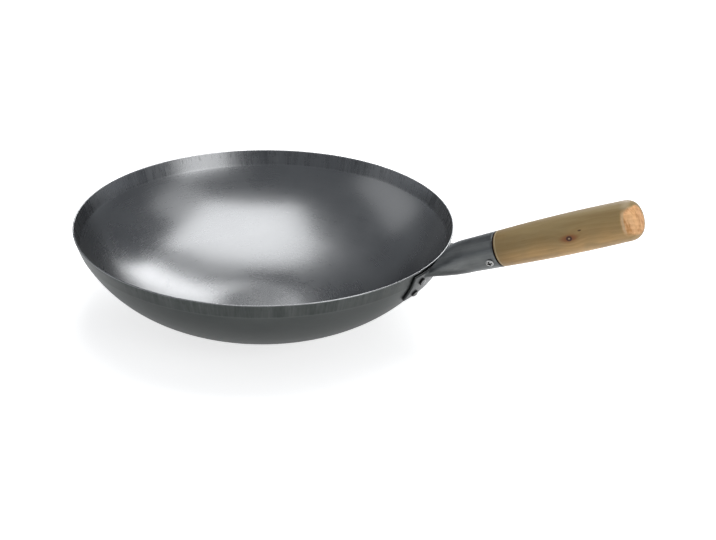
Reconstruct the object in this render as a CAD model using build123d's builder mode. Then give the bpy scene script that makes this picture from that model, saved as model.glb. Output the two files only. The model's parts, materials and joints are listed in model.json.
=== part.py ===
from build123d import *
from math import asin, atan2, cos, degrees, radians, sin, sqrt
import os

# Carbon steel wok with one straight, upswept handle. The origin is the middle of the flat
# base, +Z points up and the handle runs out along +X. Lengths are in millimetres and
# angles in degrees.

# Bowl: a round sheet with a flat base, three arcs and an upright band below the rim. Each
# arc of the outer face has a radius and the slope at which it ends.
rim_radius = 178.0
base_bend_radius = 60.0
base_bend_slope = 9.2
crown_radius = 250.0
crown_slope = 24.2
wall_radius = 127.0
wall_slope = 62.8
sheet_thickness = 1.5
band_height = 14.0
band_inset = 5.0
rim_round_share = 0.4

# Handle line: how far below the rim it meets the bowl, and how steeply it rises
axis_drop = 4.4
handle_rise = 24.4

# Socket: a rolled steel tube that flattens into a fan and turns down as a flange
socket_length = 64.0
socket_mouth_radius = 16.2
socket_wall = 1.6
round_part_length = 30.0
round_part_end_radius = 15.1
fan_inward_reach = 9.0
fan_end_half_width = 28.0
fan_end_half_thickness = 3.0
fan_end_sink = 1.8
fan_width_power = 1.5
fan_thickness_power = 2.2
fan_sections = 10
fan_hollow_share = 0.75

# Flange: the end of the handle that follows the bowl's outer wall
flange_thickness = 2.4
flange_half_angle = 13.4
flange_top_drop = 2.5
flange_bottom_drop = 30.0
flange_corner_radius = 3.0
seat_gap = 0.2

# Rivets: two columns of two, square to the wall
rivet_column_spacing = 54.0
rivet_row_drops = (11.5, 24.0)
rivet_shank_radius = 2.3
rivet_head_radius = 3.6
rivet_head_height = 2.7
rivet_inner_head_radius = 4.0
rivet_inner_head_height = 1.3
rivet_gap = 0.2

# Wooden grip with a tenon inside the socket
grip_length = 133.0
grip_swell_radius = 17.9
grip_swell_share = 0.52
grip_end_radius = 17.1
grip_end_round = 10.0
grip_end_crown = 2.0
tenon_gap = 0.2
tenon_end_gap = 1.0
shoulder_gap = 0.8
shoulder_chamfer = 0.8

# Screw through the socket into the tenon
screw_setback = 7.0
screw_angle_below_side = 22.0
screw_shank_radius = 1.7
screw_shank_length = 11.0
screw_tip_length = 2.5
screw_head_radius = 3.6
screw_head_height = 2.0
screw_head_edge = 0.8
screw_gap = 0.15
recess_width = 1.0
recess_length = 4.2
recess_depth = 1.1

# Overrun of a cut past the solid that it goes through
overrun = 5.0

# Derived bowl geometry, in the plane of radius and height
crease_radius = rim_radius - band_inset
band_tilt = degrees(atan2(band_inset, band_height))


def arc_span(radius, start, end):
    """How far an arc between two slopes runs outward and how far it rises."""
    run = radius * (sin(radians(end)) - sin(radians(start)))
    rise = radius * (cos(radians(start)) - cos(radians(end)))
    return run, rise


base_bend_run, base_bend_rise = arc_span(base_bend_radius, 0, base_bend_slope)
crown_run, crown_rise = arc_span(crown_radius, base_bend_slope, crown_slope)
wall_run, wall_rise = arc_span(wall_radius, crown_slope, wall_slope)
base_radius = crease_radius - base_bend_run - crown_run - wall_run
crease_height = base_bend_rise + crown_rise + wall_rise
bowl_depth = crease_height + band_height
base_bend_center = (base_radius, base_bend_radius)
crown_center = (
    base_radius + base_bend_run - crown_radius * sin(radians(base_bend_slope)),
    base_bend_rise + crown_radius * cos(radians(base_bend_slope)),
)
wall_center = (
    crease_radius - wall_radius * sin(radians(wall_slope)),
    crease_height + wall_radius * cos(radians(wall_slope)),
)
bowl_arcs = (
    (base_bend_center, base_bend_radius, 0, base_bend_slope),
    (crown_center, crown_radius, base_bend_slope, crown_slope),
    (wall_center, wall_radius, crown_slope, wall_slope),
)


def slope_at(height):
    """Slope of the wall arc's outer face at a height."""
    rise = wall_center[1] - height
    return degrees(atan2(sqrt(wall_radius**2 - rise**2), rise))


def wall_tilt(height):
    """How far the outer wall's normal points below the horizontal at a height."""
    return band_tilt if height >= crease_height else 90 - slope_at(height)


def wall_point(height, offset):
    """Radius and height of the outer wall's point at a height, offset square to the wall."""
    if height >= crease_height:
        radius = crease_radius + (height - crease_height) / band_height * band_inset
    else:
        radius = wall_center[0] + wall_radius * sin(radians(slope_at(height)))
    tilt = radians(wall_tilt(height))
    return (radius + offset * cos(tilt), height - offset * sin(tilt))


def rivet_plane(drop, side):
    """Plane at a rivet's seat on the flange, with its normal outward."""
    height = bowl_depth - drop
    turn = side * asin(rivet_column_spacing / 2 / wall_point(height, 0)[0])
    radius, level = wall_point(height, seat_gap + flange_thickness)
    tilt = radians(wall_tilt(height))
    return Plane(
        (radius * cos(turn), radius * sin(turn), level),
        x_dir=(-sin(turn), cos(turn), 0),
        z_dir=(cos(tilt) * cos(turn), cos(tilt) * sin(turn), -sin(tilt)),
    )


rivet_planes = {
    f"rivet_{row}_{side_name}": rivet_plane(drop, side)
    for row, drop in zip(("upper", "lower"), rivet_row_drops)
    for side_name, side in (("left", 1), ("right", -1))
}
rivet_grip = flange_thickness + seat_gap + sheet_thickness
rivet_hole_radius = rivet_shank_radius + rivet_gap
rivet_hole_length = 2 * (rivet_grip + overrun)

# Handle frame: where its axis meets the rim's radius, and its directions
rise_angle = radians(handle_rise)
axis_start = Vector(rim_radius, 0, bowl_depth - axis_drop)
axis_direction = Vector(cos(rise_angle), 0, sin(rise_angle))
up_direction = Vector(-sin(rise_angle), 0, cos(rise_angle))
side_direction = Vector(0, -1, 0)
mouth_center = axis_start + axis_direction * socket_length
handle_axis = Axis(mouth_center, axis_direction)


def axis_plane(distance, sink):
    """Plane square to the handle's axis, this far out from the rim's radius."""
    origin = axis_start + axis_direction * distance - up_direction * sink
    return Plane(origin, x_dir=(0, 1, 0), z_dir=axis_direction)


def eased(start, end, share, power):
    """Value between two ends that leaves its start gently."""
    return start + (end - start) * share**power


# The socket's sections from its mouth inward: plane, half width and half thickness
fan_outer_end = socket_length - round_part_length
fan_length = fan_outer_end + fan_inward_reach
socket_sections = [(axis_plane(socket_length, 0), socket_mouth_radius, socket_mouth_radius)]
for step in range(fan_sections + 1):
    step_share = step / fan_sections
    sink = eased(0, fan_end_sink, step_share, fan_width_power)
    section = axis_plane(fan_outer_end - step_share * fan_length, sink)
    half_width = eased(round_part_end_radius, fan_end_half_width, step_share, fan_width_power)
    half_thickness = eased(
        round_part_end_radius, fan_end_half_thickness, step_share, fan_thickness_power
    )
    socket_sections.append((section, half_width, half_thickness))
hollow_sections = socket_sections[: 2 + int(fan_hollow_share * fan_sections)]

# Bore of the round part, and the tenon that fits in it
socket_taper = (socket_mouth_radius - round_part_end_radius) / round_part_length
bore_mouth_radius = socket_mouth_radius - socket_wall
tenon_length = round_part_length - tenon_end_gap
tenon_mouth_radius = bore_mouth_radius - tenon_gap
tenon_end_radius = tenon_mouth_radius - socket_taper * tenon_length

# Screw frame on the socket's outer surface
screw_angle = radians(screw_angle_below_side)
screw_direction = side_direction * cos(screw_angle) - up_direction * sin(screw_angle)
screw_seat_radius = socket_mouth_radius - socket_taper * screw_setback
screw_plane = Plane(
    mouth_center - axis_direction * screw_setback + screw_direction * screw_seat_radius,
    x_dir=axis_direction,
    z_dir=screw_direction,
)
screw_hole_radius = screw_shank_radius + screw_gap
screw_hole_length = 2 * (screw_shank_length + screw_gap)

# Bowl
with BuildPart() as bowl:
    with BuildSketch(Plane.XZ):
        with BuildLine():
            outer_arcs, inner_arcs = [
                [
                    CenterArc(center, radius - face, start - 90, end - start)
                    for center, radius, start, end in bowl_arcs
                ]
                for face in (0, sheet_thickness)
            ]
            Line((0, 0), outer_arcs[0] @ 0)
            Line(outer_arcs[-1] @ 1, (rim_radius, bowl_depth))
            Line((rim_radius, bowl_depth), (rim_radius - sheet_thickness, bowl_depth))
            Line((rim_radius - sheet_thickness, bowl_depth), inner_arcs[-1] @ 1)
            Line(inner_arcs[0] @ 0, (0, sheet_thickness))
            Line((0, sheet_thickness), (0, 0))
        make_face()
    revolve(axis=Axis.Z)
    fillet(bowl.edges().group_by(Axis.Z)[-1], radius=rim_round_share * sheet_thickness)
    for seat in rivet_planes.values():
        with Locations(seat):
            Cylinder(rivet_hole_radius, rivet_hole_length, mode=Mode.SUBTRACT)

# Handle socket: its flange, then the socket trimmed to the bowl with its hollow and holes
flange_top = bowl_depth - flange_top_drop
flange_bottom_slope = slope_at(bowl_depth - flange_bottom_drop)
flange_faces = (seat_gap, seat_gap + flange_thickness)
flange_core = seat_gap + flange_thickness / 2
half_angle = radians(flange_half_angle)
flange_start = Plane(
    (0, 0, 0),
    x_dir=(cos(half_angle), -sin(half_angle), 0),
    z_dir=(-sin(half_angle), -cos(half_angle), 0),
)
with BuildPart() as flange:
    with BuildSketch(flange_start):
        with BuildLine():
            near_arc, far_arc = [
                CenterArc(
                    wall_center,
                    wall_radius + face,
                    flange_bottom_slope - 90,
                    wall_slope - flange_bottom_slope,
                )
                for face in flange_faces
            ]
            near_top, far_top = [wall_point(flange_top, face) for face in flange_faces]
            Line(near_arc @ 1, near_top)
            Line(near_top, far_top)
            Line(far_top, far_arc @ 1)
            Line(far_arc @ 0, near_arc @ 0)
        make_face()
    revolve(axis=Axis.Z, revolution_arc=2 * flange_half_angle)
    bottom_corners = flange.edges().filter_by(GeomType.LINE).group_by(Axis.Z)[0]
    fillet(bottom_corners, radius=flange_corner_radius)

with BuildPart() as handle_socket:
    for section, half_width, half_thickness in socket_sections:
        with BuildSketch(section):
            Ellipse(half_width, half_thickness)
    loft(ruled=True)
    with BuildSketch(Plane.XZ):
        with BuildLine():
            trim_wall = CenterArc(wall_center, wall_radius + flange_core, -90, wall_slope)
            trim_rim = wall_point(bowl_depth, flange_core)
            trim_top = (trim_rim[0], bowl_depth + overrun)
            trim_bottom = (0, wall_center[1] - wall_radius - flange_core)
            Line(trim_wall @ 1, trim_rim)
            Line(trim_rim, trim_top)
            Line(trim_top, (0, trim_top[1]))
            Line((0, trim_top[1]), trim_bottom)
            Line(trim_bottom, trim_wall @ 0)
        make_face()
    revolve(axis=Axis.Z, mode=Mode.SUBTRACT)
    add(flange.part)
    for section, half_width, half_thickness in hollow_sections:
        with BuildSketch(section):
            Ellipse(half_width - socket_wall, half_thickness - socket_wall)
    loft(ruled=True, mode=Mode.SUBTRACT)
    for seat in rivet_planes.values():
        with Locations(seat):
            Cylinder(rivet_hole_radius, rivet_hole_length, mode=Mode.SUBTRACT)
    with Locations(screw_plane):
        Cylinder(screw_hole_radius, screw_hole_length, mode=Mode.SUBTRACT)

# Wooden grip
with BuildPart() as wooden_grip:
    with BuildSketch(
        Plane(mouth_center, x_dir=axis_direction, z_dir=side_direction)
    ) as grip_profile:
        with BuildLine():
            Polyline(
                (grip_length, 0),
                (-tenon_length, 0),
                (-tenon_length, tenon_end_radius),
                (0, tenon_mouth_radius),
                (shoulder_gap, tenon_mouth_radius),
                (shoulder_gap, socket_mouth_radius - shoulder_chamfer),
                (shoulder_gap + shoulder_chamfer, socket_mouth_radius),
            )
            ThreePointArc(
                (shoulder_gap + shoulder_chamfer, socket_mouth_radius),
                (grip_swell_share * grip_length, grip_swell_radius),
                (grip_length - grip_end_crown, grip_end_radius),
            )
            TangentArc(
                (grip_length, 0),
                (grip_length - grip_end_crown, grip_end_radius),
                tangent=(0, 1),
            )
        make_face()
        end_corner = grip_profile.vertices().sort_by(lambda corner: corner.X + corner.Y)[-1]
        fillet(end_corner, radius=grip_end_round)
    revolve(axis=handle_axis)
    with Locations(screw_plane):
        Cylinder(screw_hole_radius, screw_hole_length, mode=Mode.SUBTRACT)

# Rivets, each turned about the line square to the wall
rivets = {}
for name, seat in rivet_planes.items():
    with BuildPart() as rivet:
        with BuildSketch(Plane(seat.origin, seat.x_dir, seat.x_dir.cross(seat.z_dir))):
            with BuildLine():
                Line((0, -rivet_grip - rivet_inner_head_height), (0, rivet_head_height))
                TangentArc(
                    (0, rivet_head_height),
                    (rivet_head_radius, rivet_gap),
                    tangent=(1, 0),
                )
                Polyline(
                    (rivet_head_radius, rivet_gap),
                    (rivet_shank_radius, rivet_gap),
                    (rivet_shank_radius, -rivet_grip - rivet_gap),
                    (rivet_inner_head_radius, -rivet_grip - rivet_gap),
                )
                TangentArc(
                    (0, -rivet_grip - rivet_inner_head_height),
                    (rivet_inner_head_radius, -rivet_grip - rivet_gap),
                    tangent=(1, 0),
                )
            make_face()
        revolve(axis=Axis(seat.origin, seat.z_dir))
    rivets[name] = rivet

# Grip screw: a pan head with a cross recess
with BuildPart() as grip_screw:
    with BuildSketch(
        Plane(screw_plane.origin, axis_direction, axis_direction.cross(screw_direction))
    ):
        with BuildLine():
            Polyline(
                (0, screw_head_height),
                (0, -screw_shank_length),
                (screw_shank_radius, screw_tip_length - screw_shank_length),
                (screw_shank_radius, screw_gap),
                (screw_head_radius, screw_gap),
                (screw_head_radius, screw_head_edge),
            )
            TangentArc(
                (0, screw_head_height),
                (screw_head_radius, screw_head_edge),
                tangent=(1, 0),
            )
        make_face()
    revolve(axis=Axis(screw_plane.origin, screw_direction))
    recess_top = screw_plane.offset(screw_head_height)
    for recess_size in ((recess_length, recess_width), (recess_width, recess_length)):
        with Locations(recess_top):
            Box(*recess_size, 2 * recess_depth, mode=Mode.SUBTRACT)

# Labels and one STEP file for each piece
pieces = {
    "bowl": bowl,
    "handle_socket": handle_socket,
    "wooden_grip": wooden_grip,
    **rivets,
    "grip_screw": grip_screw,
}
os.makedirs("parts", exist_ok=True)
for name, piece in pieces.items():
    piece.part.label = name
    export_step(piece.part, f"parts/{name}.step")
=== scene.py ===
"""Carbon steel wok with a socketed, riveted handle and a turned wooden grip, in metres."""
from __future__ import annotations

import json
import logging
import math
from collections.abc import Callable
from dataclasses import dataclass, field
from enum import Enum
from functools import cached_property, partial
from typing import NamedTuple

import bmesh
import bpy
from bmesh.types import BMEdge, BMesh, BMVert
from bpy.types import Material, Node, NodeSocket, NodeTree, Object
from mathutils import Matrix, Vector

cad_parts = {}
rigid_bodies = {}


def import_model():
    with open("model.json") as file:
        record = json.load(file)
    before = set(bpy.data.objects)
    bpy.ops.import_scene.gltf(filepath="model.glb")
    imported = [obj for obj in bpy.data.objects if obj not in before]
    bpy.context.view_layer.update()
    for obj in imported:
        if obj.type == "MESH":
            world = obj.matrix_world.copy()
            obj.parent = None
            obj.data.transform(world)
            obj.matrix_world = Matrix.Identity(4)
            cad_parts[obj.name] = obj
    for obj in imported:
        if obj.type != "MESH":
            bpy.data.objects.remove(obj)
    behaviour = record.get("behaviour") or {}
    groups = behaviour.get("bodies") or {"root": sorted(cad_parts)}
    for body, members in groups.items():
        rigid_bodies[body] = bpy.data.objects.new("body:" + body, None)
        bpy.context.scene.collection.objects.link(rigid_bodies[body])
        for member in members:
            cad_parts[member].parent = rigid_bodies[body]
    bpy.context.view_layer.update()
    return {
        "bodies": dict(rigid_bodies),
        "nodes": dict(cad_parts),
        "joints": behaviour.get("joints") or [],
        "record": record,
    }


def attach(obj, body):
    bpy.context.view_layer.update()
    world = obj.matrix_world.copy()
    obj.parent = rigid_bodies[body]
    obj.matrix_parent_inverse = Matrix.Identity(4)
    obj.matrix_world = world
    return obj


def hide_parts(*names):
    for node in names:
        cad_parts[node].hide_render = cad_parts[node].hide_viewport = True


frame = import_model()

LOG = logging.getLogger("wok")
MERGE_DISTANCE = 1e-7
LEVEL_TOLERANCE = 1e-6
SEARCH_STEPS = 40
# Share of a soft spot's reach that is fully covered
SPOT_CORE = 0.3
# How far the middle of a rounded corner lies in from its sides, as a share of its radius
CORNER_INSET = 0.3

Color = tuple[float, float, float, float]
Place = tuple[float, float, float]
Point = tuple[float, float]
Span = tuple[float, float]
Shape = Callable[[float], Vector]


class Slot(Enum):
    """Material slots of the record."""

    BOWL = "bowl_steel"
    SOCKET = "socket_steel"
    WOOD = "pale_wood"
    RIVET = "rivet_steel"
    SCREW = "screw_steel"


# Mesh helpers


def eased(start: float, end: float, share: float, power: float) -> float:
    """Value between two ends that leaves its start gently.

    Args:
        start: Value at share 0.
        end: Value at share 1.
        share: How far along, from 0 to 1.
        power: How gently the start is left.

    Returns:
        The value at that share.
    """
    return start + (end - start) * max(share, 0.0) ** power


def arc(center: Point, radius: float, start: float, stop: float, steps: int) -> list[Point]:
    """Points of a circular arc in a profile's plane.

    Args:
        center: Middle of the circle.
        radius: Its radius.
        start: First angle, in degrees.
        stop: Last angle, in degrees.
        steps: Number of spans.

    Returns:
        The points from the first angle to the last.
    """
    angles = [math.radians(start + (stop - start) * i / steps) for i in range(steps + 1)]
    return [(center[0] + radius * math.cos(a), center[1] + radius * math.sin(a)) for a in angles]


def softened(start: Vector, corner: Vector, end: Vector, share: float) -> Vector:
    """Point of the soft bend that leads round a corner.

    Args:
        start: Where the bend starts.
        corner: The corner, which the bend doesn't reach.
        end: Where the bend ends.
        share: How far along, from 0 to 1.

    Returns:
        The point.
    """
    return start.lerp(corner, share).lerp(corner.lerp(end, share), share)


def cap(radius: float, rise: float) -> float:
    """Radius of the sphere whose cap has a given rim and rise."""
    return (radius**2 + rise**2) / (2 * rise)


def sag(sphere: float, radius: float) -> float:
    """How far a sphere has fallen away at a distance from its axis."""
    return sphere - math.sqrt(sphere**2 - radius**2)


def narrowed(low: float, high: float, is_low: Callable[[float], bool]) -> Span:
    """Closes in on the value at which a test turns from true to false.

    Args:
        low: Value that passes.
        high: Value that doesn't.
        is_low: The test.

    Returns:
        The last value that passes and the first that doesn't.
    """
    for _ in range(SEARCH_STEPS):
        middle = (low + high) / 2
        if is_low(middle):
            low = middle
        else:
            high = middle
    return low, high


def turned(profile: list[Point], segments: int, place: Matrix) -> BMesh:
    """Spins a profile about its own Z axis and puts the result in place.

    Args:
        profile: Points of radius and height, from pole to pole.
        segments: Number of steps round the axis.
        place: Matrix from the profile's frame to the object's.

    Returns:
        The closed, outward facing mesh.
    """
    mesh = bmesh.new()
    points = [mesh.verts.new((radius, 0.0, height)) for radius, height in profile]
    edges = [mesh.edges.new(pair) for pair in zip(points, points[1:])]
    bmesh.ops.spin(
        mesh, geom=points + edges, cent=(0, 0, 0), axis=(0, 0, 1),
        angle=2 * math.pi, steps=segments, use_merge=True,
    )
    bmesh.ops.remove_doubles(mesh, verts=mesh.verts, dist=MERGE_DISTANCE)
    bmesh.ops.transform(mesh, matrix=place, verts=mesh.verts)
    bmesh.ops.recalc_face_normals(mesh, faces=mesh.faces)
    return mesh


def make_piece(
    name: str,
    mesh: BMesh,
    material: Material,
    replaced: str,
    sharp_angle: float = 40.0,
) -> Object:
    """Turns a finished mesh into a piece that rides on the root body.

    Args:
        name: The piece's name.
        mesh: Its mesh, which is freed.
        material: Its finish.
        replaced: CAD node that it stands for.
        sharp_angle: Angle in degrees past which an edge stays sharp.

    Returns:
        The new object.
    """
    data = bpy.data.meshes.new(name)
    mesh.to_mesh(data)
    mesh.free()
    data.polygons.foreach_set("use_smooth", [True] * len(data.polygons))
    data.set_sharp_from_angle(angle=math.radians(sharp_angle))
    data.materials.append(material)
    piece = bpy.data.objects.new(name, data)
    bpy.context.scene.collection.objects.link(piece)
    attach(piece, "root")
    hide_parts(replaced)
    LOG.info("%s: %d faces", name, len(data.polygons))
    return piece


# Shader helpers


@dataclass
class Nodes:
    """Short forms for building a node tree."""

    tree: NodeTree

    def add(self, kind: str, **settings: object) -> Node:
        """Adds a node and sets its properties.

        Args:
            kind: Blender's type name of the node.
            settings: Properties to set on it.

        Returns:
            The node.
        """
        node = self.tree.nodes.new(kind)
        for key, value in settings.items():
            setattr(node, key, value)
        return node

    def link(self, source: NodeSocket, target: NodeSocket) -> None:
        """Joins two sockets."""
        self.tree.links.new(source, target)

    def feed(self, value: object, target: NodeSocket) -> None:
        """Links a socket, or sets a plain value.

        Args:
            value: An output socket, a number or a tuple.
            target: The input that takes it.
        """
        if isinstance(value, NodeSocket):
            self.link(value, target)
        else:
            target.default_value = value

    def math(self, operation: str, first: object, second: object = 0.0, clamp: bool = False) -> NodeSocket:
        """Adds a Math node.

        Args:
            operation: Its operation.
            first: Socket or number.
            second: Socket or number.
            clamp: Whether the result is kept from 0 to 1.

        Returns:
            Its output.
        """
        node = self.add("ShaderNodeMath", operation=operation, use_clamp=clamp)
        self.feed(first, node.inputs[0])
        self.feed(second, node.inputs[1])
        return node.outputs[0]

    def remap(
        self, value: object, low: float, high: float, to_low: float = 0.0, to_high: float = 1.0,
    ) -> NodeSocket:
        """Adds a clamped, smooth Map Range node.

        Args:
            value: Socket to map.
            low: Value that gives to_low.
            high: Value that gives to_high.
            to_low: Result at low.
            to_high: Result at high.

        Returns:
            Its output.
        """
        node = self.add("ShaderNodeMapRange", interpolation_type="SMOOTHSTEP")
        for item, socket in zip((value, low, high, to_low, to_high), node.inputs):
            self.feed(item, socket)
        return node.outputs[0]

    def mix(self, share: object, first: object, second: object, blend: str = "MIX") -> NodeSocket:
        """Adds a colour Mix node.

        Args:
            share: Socket or number.
            first: Colour socket or tuple.
            second: Colour socket or tuple.
            blend: Its blend type.

        Returns:
            Its colour output.
        """
        node = self.add("ShaderNodeMix", data_type="RGBA", blend_type=blend)
        self.feed(share, node.inputs["Factor"])
        self.feed(first, node.inputs[6])
        self.feed(second, node.inputs[7])
        return node.outputs[2]

    def plus(self, *terms: object) -> NodeSocket:
        """Adds up sockets and numbers.

        Args:
            terms: What is added.

        Returns:
            The sum's socket.
        """
        total = terms[0]
        for term in terms[1:]:
            total = self.math("ADD", total, term)
        return total

    def times(self, *factors: object) -> NodeSocket:
        """Multiplies sockets and numbers.

        Args:
            factors: What is multiplied.

        Returns:
            The product's socket.
        """
        total = factors[0]
        for factor in factors[1:]:
            total = self.math("MULTIPLY", total, factor)
        return total

    def spot(self, value: object, middle: float, reach: float) -> NodeSocket:
        """Soft mask that is 1 where a value is near its middle.

        Args:
            value: Socket that is tested.
            middle: Value at the mask's middle.
            reach: How far the mask reaches on either side.

        Returns:
            The mask.
        """
        away = self.math("ABSOLUTE", self.math("SUBTRACT", value, middle))
        return self.remap(away, reach, reach * SPOT_CORE)

    def joined(self, x: object, y: object, z: object) -> NodeSocket:
        """Joins three numbers to a vector.

        Args:
            x: First socket or number.
            y: Second one.
            z: Third one.

        Returns:
            The vector's socket.
        """
        node = self.add("ShaderNodeCombineXYZ")
        for value, socket in zip((x, y, z), node.inputs):
            self.feed(value, socket)
        return node.outputs[0]

    def vector(self, operation: str, first: object, second: object = (0, 0, 0)) -> NodeSocket:
        """Adds a Vector Math node.

        Args:
            operation: Its operation.
            first: Socket or tuple.
            second: Socket or tuple.

        Returns:
            Its output, a number for LENGTH and a vector otherwise.
        """
        node = self.add("ShaderNodeVectorMath", operation=operation)
        self.feed(first, node.inputs[0])
        self.feed(second, node.inputs[1])
        return node.outputs["Value" if operation == "LENGTH" else "Vector"]

    def split(self, vector: object) -> tuple[NodeSocket, ...]:
        """Takes a vector apart.

        Args:
            vector: Its socket.

        Returns:
            The three numbers' sockets.
        """
        node = self.add("ShaderNodeSeparateXYZ")
        self.feed(vector, node.inputs[0])
        return tuple(node.outputs)

    def noise(self, vector: object, scale: object, detail: float, roughness: float) -> NodeSocket:
        """Adds a Noise texture.

        Args:
            vector: Coordinate socket.
            scale: Cells per metre of the coordinates, as a socket or a number.
            detail: Octaves.
            roughness: Weight of the finer octaves.

        Returns:
            Its factor output.
        """
        node = self.add("ShaderNodeTexNoise")
        self.feed(vector, node.inputs["Vector"])
        self.feed(scale, node.inputs["Scale"])
        node.inputs["Detail"].default_value = detail
        node.inputs["Roughness"].default_value = roughness
        return node.outputs["Fac"]

    def object_place(self) -> NodeSocket:
        """Adds the piece's own coordinates."""
        return self.add("ShaderNodeTexCoord").outputs["Object"]

    def centred(self, value: object) -> NodeSocket:
        """Shifts a value of 0 to 1 so that its middle is 0."""
        return self.math("SUBTRACT", value, 0.5)

    def risen(self, place: object, degrees: float) -> NodeSocket:
        """Turns coordinates so that X runs along the handle.

        Args:
            place: Coordinate socket.
            degrees: How steeply the handle rises.

        Returns:
            The turned coordinates.
        """
        node = self.add("ShaderNodeMapping")
        self.link(place, node.inputs["Vector"])
        node.inputs["Rotation"].default_value = (0, math.radians(degrees), 0)
        return node.outputs[0]

    def bump(self, height: object, strength: float, distance: float) -> NodeSocket:
        """Adds a Bump node.

        Args:
            height: Socket of the height.
            strength: Its strength.
            distance: Height in metres that 1 stands for.

        Returns:
            Its normal.
        """
        node = self.add("ShaderNodeBump")
        node.inputs["Strength"].default_value = strength
        node.inputs["Distance"].default_value = distance
        self.feed(height, node.inputs["Height"])
        return node.outputs["Normal"]


def new_group(
    name: str, inputs: dict[str, float], outputs: tuple[str, ...],
) -> tuple[NodeTree, Nodes, Node, Node]:
    """Starts a shader node group that reads a vector and numbers, and puts out masks.

    Args:
        name: The group's name.
        inputs: Input names and their first values.
        outputs: Output names.

    Returns:
        The tree, its helper, its input node and its output node.
    """
    tree = bpy.data.node_groups.new(name, "ShaderNodeTree")
    tree.interface.new_socket("Vector", in_out="INPUT", socket_type="NodeSocketVector")
    for label, value in inputs.items():
        socket = tree.interface.new_socket(label, in_out="INPUT", socket_type="NodeSocketFloat")
        socket.default_value = value
    for label in outputs:
        tree.interface.new_socket(label, in_out="OUTPUT", socket_type="NodeSocketFloat")
    make = Nodes(tree)
    return tree, make, make.add("NodeGroupInput"), make.add("NodeGroupOutput")


@dataclass
class SharedEffects:
    """Node groups that several finishes use, each built once."""

    grain: NodeTree = field(init=False)
    mottle: NodeTree = field(init=False)

    def __post_init__(self) -> None:
        """Builds the groups."""
        self.grain = self._build_grain()
        self.mottle = self._build_mottle()

    @staticmethod
    def _build_grain() -> NodeTree:
        """Fine streaks in a coordinate that is already stretched along them.

        Returns:
            The group, with outputs Streaks and Scratches.
        """
        tree, make, source, sink = new_group(
            "drawn_grain", {"Fine": 900.0, "Coarse": 160.0}, ("Streaks", "Scratches"),
        )
        vector = source.outputs["Vector"]
        fine, coarse = (make.noise(vector, source.outputs[label], 4.0, 0.6) for label in ("Fine", "Coarse"))
        make.link(make.times(make.plus(fine, coarse), 0.5), sink.inputs["Streaks"])
        make.link(make.remap(fine, 0.62, 0.74), sink.inputs["Scratches"])
        return tree

    @staticmethod
    def _build_mottle() -> NodeTree:
        """Soft clouds and small specks of handling on a bare surface.

        Returns:
            The group, with outputs Clouds and Specks.
        """
        tree, make, source, sink = new_group(
            "handling_marks", {"Size": 14.0, "Speck Size": 260.0}, ("Clouds", "Specks"),
        )
        clouds = make.noise(source.outputs["Vector"], source.outputs["Size"], 5.0, 0.55)
        specks = make.noise(source.outputs["Vector"], source.outputs["Speck Size"], 2.0, 0.5)
        make.link(make.remap(clouds, 0.3, 0.7), sink.inputs["Clouds"])
        make.link(make.remap(specks, 0.66, 0.78), sink.inputs["Specks"])
        return tree

    @staticmethod
    def place(make: Nodes, tree: NodeTree, vector: NodeSocket, **values: float) -> tuple[NodeSocket, ...]:
        """Puts a group in a material with its own values.

        Args:
            make: The material's helper.
            tree: The group.
            vector: Coordinate that it reads.
            values: Input values, with underscores for spaces.

        Returns:
            The group's outputs, in order.
        """
        node = make.add("ShaderNodeGroup", node_tree=tree)
        make.link(vector, node.inputs["Vector"])
        for key, value in values.items():
            node.inputs[key.replace("_", " ")].default_value = value
        return tuple(node.outputs)


def new_material(name: str) -> tuple[Material, Nodes, Node]:
    """Starts a material with one Principled shader.

    Args:
        name: The material's name.

    Returns:
        The material, its helper and its shader.
    """
    material = bpy.data.materials.new(name)
    material.use_nodes = True
    make = Nodes(material.node_tree)
    shader = next(n for n in material.node_tree.nodes if n.type == "BSDF_PRINCIPLED")
    return material, make, shader


# Finishes


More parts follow.
